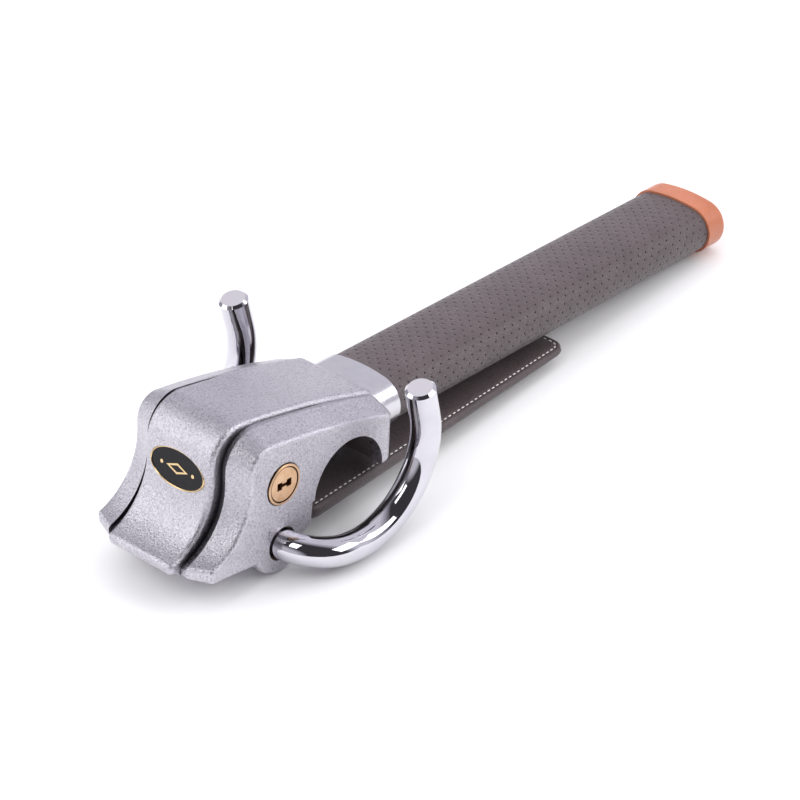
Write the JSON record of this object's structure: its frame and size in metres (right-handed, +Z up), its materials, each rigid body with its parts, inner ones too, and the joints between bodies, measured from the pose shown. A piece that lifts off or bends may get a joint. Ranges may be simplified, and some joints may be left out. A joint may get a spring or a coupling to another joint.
{
  "type": "steering wheel lock",
  "caption": "Anti-theft lock that clamps over a steering wheel rim with two swinging hooks, locked by a key cylinder, with a padded flat handle.",
  "frame": {"origin": "middle of the bounding box in plan, at the ground that the head's lower lobe and the end cap rest on", "axes": "+X along the handle from the head to the end cap, +Z up; the key side of the head faces -Y"},
  "size_m": [0.3958, 0.127, 0.0752],
  "materials": {
    "cast_silver": "satin, finely sand-textured silver",
    "black_steel": "black oxide",
    "plated_steel": "zinc plated",
    "chrome": "mirror chrome",
    "gold": "polished gold colour",
    "black_enamel": "gloss black enamel",
    "brass": "machined brass",
    "bronze": "plain bronze bearing",
    "liner_rubber": "matt dark grey rubber",
    "pad_foam": "foam filling",
    "pad_leather": "smooth dark taupe leather with white stitching",
    "grip_leather": "perforated taupe-grey leather",
    "tube_steel": "plain steel tube",
    "grip_foam": "closed-cell foam",
    "black_plastic": "moulded black",
    "orange_plastic": "soft orange-tan plastic"
  },
  "bodies": {
    "head": {"head_housing": "cast_silver", "bottom_cover": "cast_silver", "cover_screws": "black_steel", "badge_bezel": "gold", "badge_plate": "black_enamel", "badge_inlay": "gold", "shaft_bush_near": "bronze", "shaft_bush_far": "bronze", "thrust_washers": "bronze", "cylinder_barrel": "brass", "barrel_clip": "plated_steel", "rim_liner": "liner_rubber", "pad_bracket": "black_steel", "bracket_screws": "plated_steel", "pad_rod": "plated_steel", "handle_tube": "tube_steel", "handle_pins": "plated_steel", "handle_collar": "cast_silver", "foam_sleeve": "grip_foam", "leather_sleeve": "grip_leather", "tube_plug": "black_plastic", "end_cap": "orange_plastic"},
    "hooks": {"hook_near": "chrome", "hook_far": "chrome", "locking_hub": "plated_steel", "hub_pins": "plated_steel"},
    "plug": {"lock_plug": "brass", "plug_clip": "plated_steel", "key_discs": "plated_steel", "plug_cam": "plated_steel", "cam_screw": "plated_steel"},
    "bolt": {"lock_bolt": "plated_steel"},
    "pad": {"pad_core": "pad_foam", "pad_cover": "pad_leather"}
  },
  "joints": [
    {"name": "hooks_swing", "type": "hinge", "parent": "head", "child": "hooks", "pos_m": [-0.14492, 0, 0.01452], "axis": [0, 1, 0], "range_deg": [0, 110]},
    {"name": "key_turn", "type": "hinge", "parent": "head", "child": "plug", "pos_m": [-0.14243, 0, 0.04512], "axis": [0, 1, 0], "range_deg": [0, 90]},
    {"name": "bolt_slide", "type": "slide", "parent": "head", "child": "bolt", "axis": [-0.0812, 0, -0.9967], "range_m": [0, 0.006]},
    {"name": "pad_swing", "type": "hinge", "parent": "head", "child": "pad", "pos_m": [-0.12081, 0, 0.01486], "axis": [0, 1, 0], "range_deg": [0, 75]}
  ],
  "couplings": [
    {"joint": "key_turn", "follows": "bolt_slide", "rad_per_m": 261.79}
  ]
}
